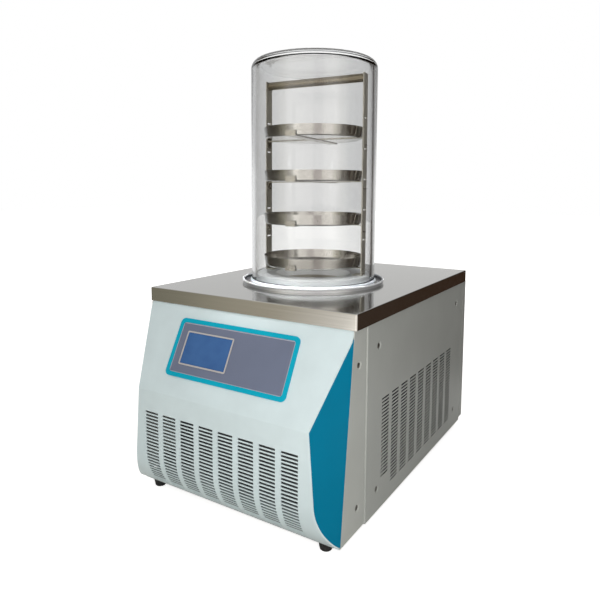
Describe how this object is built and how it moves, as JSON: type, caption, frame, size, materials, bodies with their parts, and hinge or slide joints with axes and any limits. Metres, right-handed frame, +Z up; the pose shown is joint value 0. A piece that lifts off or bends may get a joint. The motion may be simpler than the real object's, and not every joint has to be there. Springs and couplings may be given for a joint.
{
  "type": "benchtop freeze dryer",
  "caption": "Benchtop laboratory freeze dryer: a steel cabinet with a sloped display front and slotted vents, and a clear cylindrical drying chamber over stacked round trays.",
  "frame": {"origin": "on the bench, under the middle of the object's box", "axes": "+X to the right seen from the front, +Y to the back, +Z up"},
  "size_m": [0.44, 0.679, 0.815],
  "materials": {
    "stainless": "brushed",
    "galvanised": "satin",
    "shell": "satin",
    "accent": "satin",
    "bezel": "satin",
    "overlay": "matt",
    "screen_frame": "satin",
    "screen": "gloss",
    "board": "matt",
    "case": "textured",
    "screws": "polished",
    "foam": "foam",
    "rubber": "matt",
    "silicone": "satin",
    "acrylic": "clear",
    "white_plastic": "satin",
    "fins": "matt",
    "dark_metal": "satin",
    "black_plastic": "matt",
    "black_metal": "gloss",
    "copper": "satin",
    "brass": "satin",
    "lever": "satin",
    "rocker": "satin"
  },
  "bodies": {
    "cabinet": {"top_plate": "stainless", "base_tray": "galvanised", "front_panel": "shell", "cheek_left": "accent", "cheek_right": "accent", "display_bezel": "bezel", "display_overlay": "overlay", "screen_frame": "screen_frame", "lcd_screen": "screen", "control_board": "board", "side_strip_left": "case", "side_strip_right": "case", "side_panel_left": "case", "side_panel_right": "case", "back_panel": "case", "case_screws": "screws", "trap_bucket": "stainless", "trap_insulation": "foam", "chamber_gasket": "silicone", "seal_ring": "stainless", "chamber_cover": "acrylic", "rack_base": "white_plastic", "rack_upright_left": "stainless", "rack_upright_right": "stainless", "rack_handle": "stainless", "condenser": "fins", "fan_shroud": "galvanised", "fan_motor": "dark_metal", "fan_bracket": "galvanised", "compressor": "black_metal", "compressor_mounts": "rubber", "hot_gas_line": "copper", "liquid_line": "copper", "filter_drier": "copper", "capillary_line": "copper", "suction_line": "copper", "electrical_box": "galvanised", "vacuum_port": "stainless", "drain_pipe": "copper", "drain_valve": "brass", "vent_valve": "brass", "power_inlet": "black_plastic", "pump_outlet": "black_plastic", "switch_housing": "black_plastic", "foot_front_left": "rubber", "foot_front_right": "rubber", "foot_back_left": "rubber", "foot_back_right": "rubber", "shelf_1": "stainless", "tray_1": "stainless", "shelf_2": "stainless", "tray_2": "stainless", "shelf_3": "stainless", "tray_3": "stainless", "shelf_4": "stainless", "tray_4": "stainless"},
    "fan": {"fan_rotor": "black_plastic"},
    "switch": {"power_switch": "rocker"},
    "lever": {"drain_lever": "lever"},
    "knob": {"vent_knob": "black_plastic"}
  },
  "joints": [
    {"name": "fan_spin", "type": "hinge", "parent": "cabinet", "child": "fan", "pos_m": [0, -0.1995, 0.109], "axis": [0, 1, 0], "continuous": true},
    {"name": "power_switch_rock", "type": "hinge", "parent": "cabinet", "child": "switch", "pos_m": [0.15, 0.3075, 0.124], "axis": [1, 0, 0], "range_deg": [0, 18]},
    {"name": "drain_lever_turn", "type": "hinge", "parent": "cabinet", "child": "lever", "pos_m": [-0.018, 0.3185, 0.07], "axis": [0, 0, 1], "range_deg": [-90, 0]},
    {"name": "vent_knob_turn", "type": "hinge", "parent": "cabinet", "child": "knob", "pos_m": [-0.062, 0.322, 0.28], "axis": [0, 1, 0], "range_deg": [0, 330]}
  ]
}
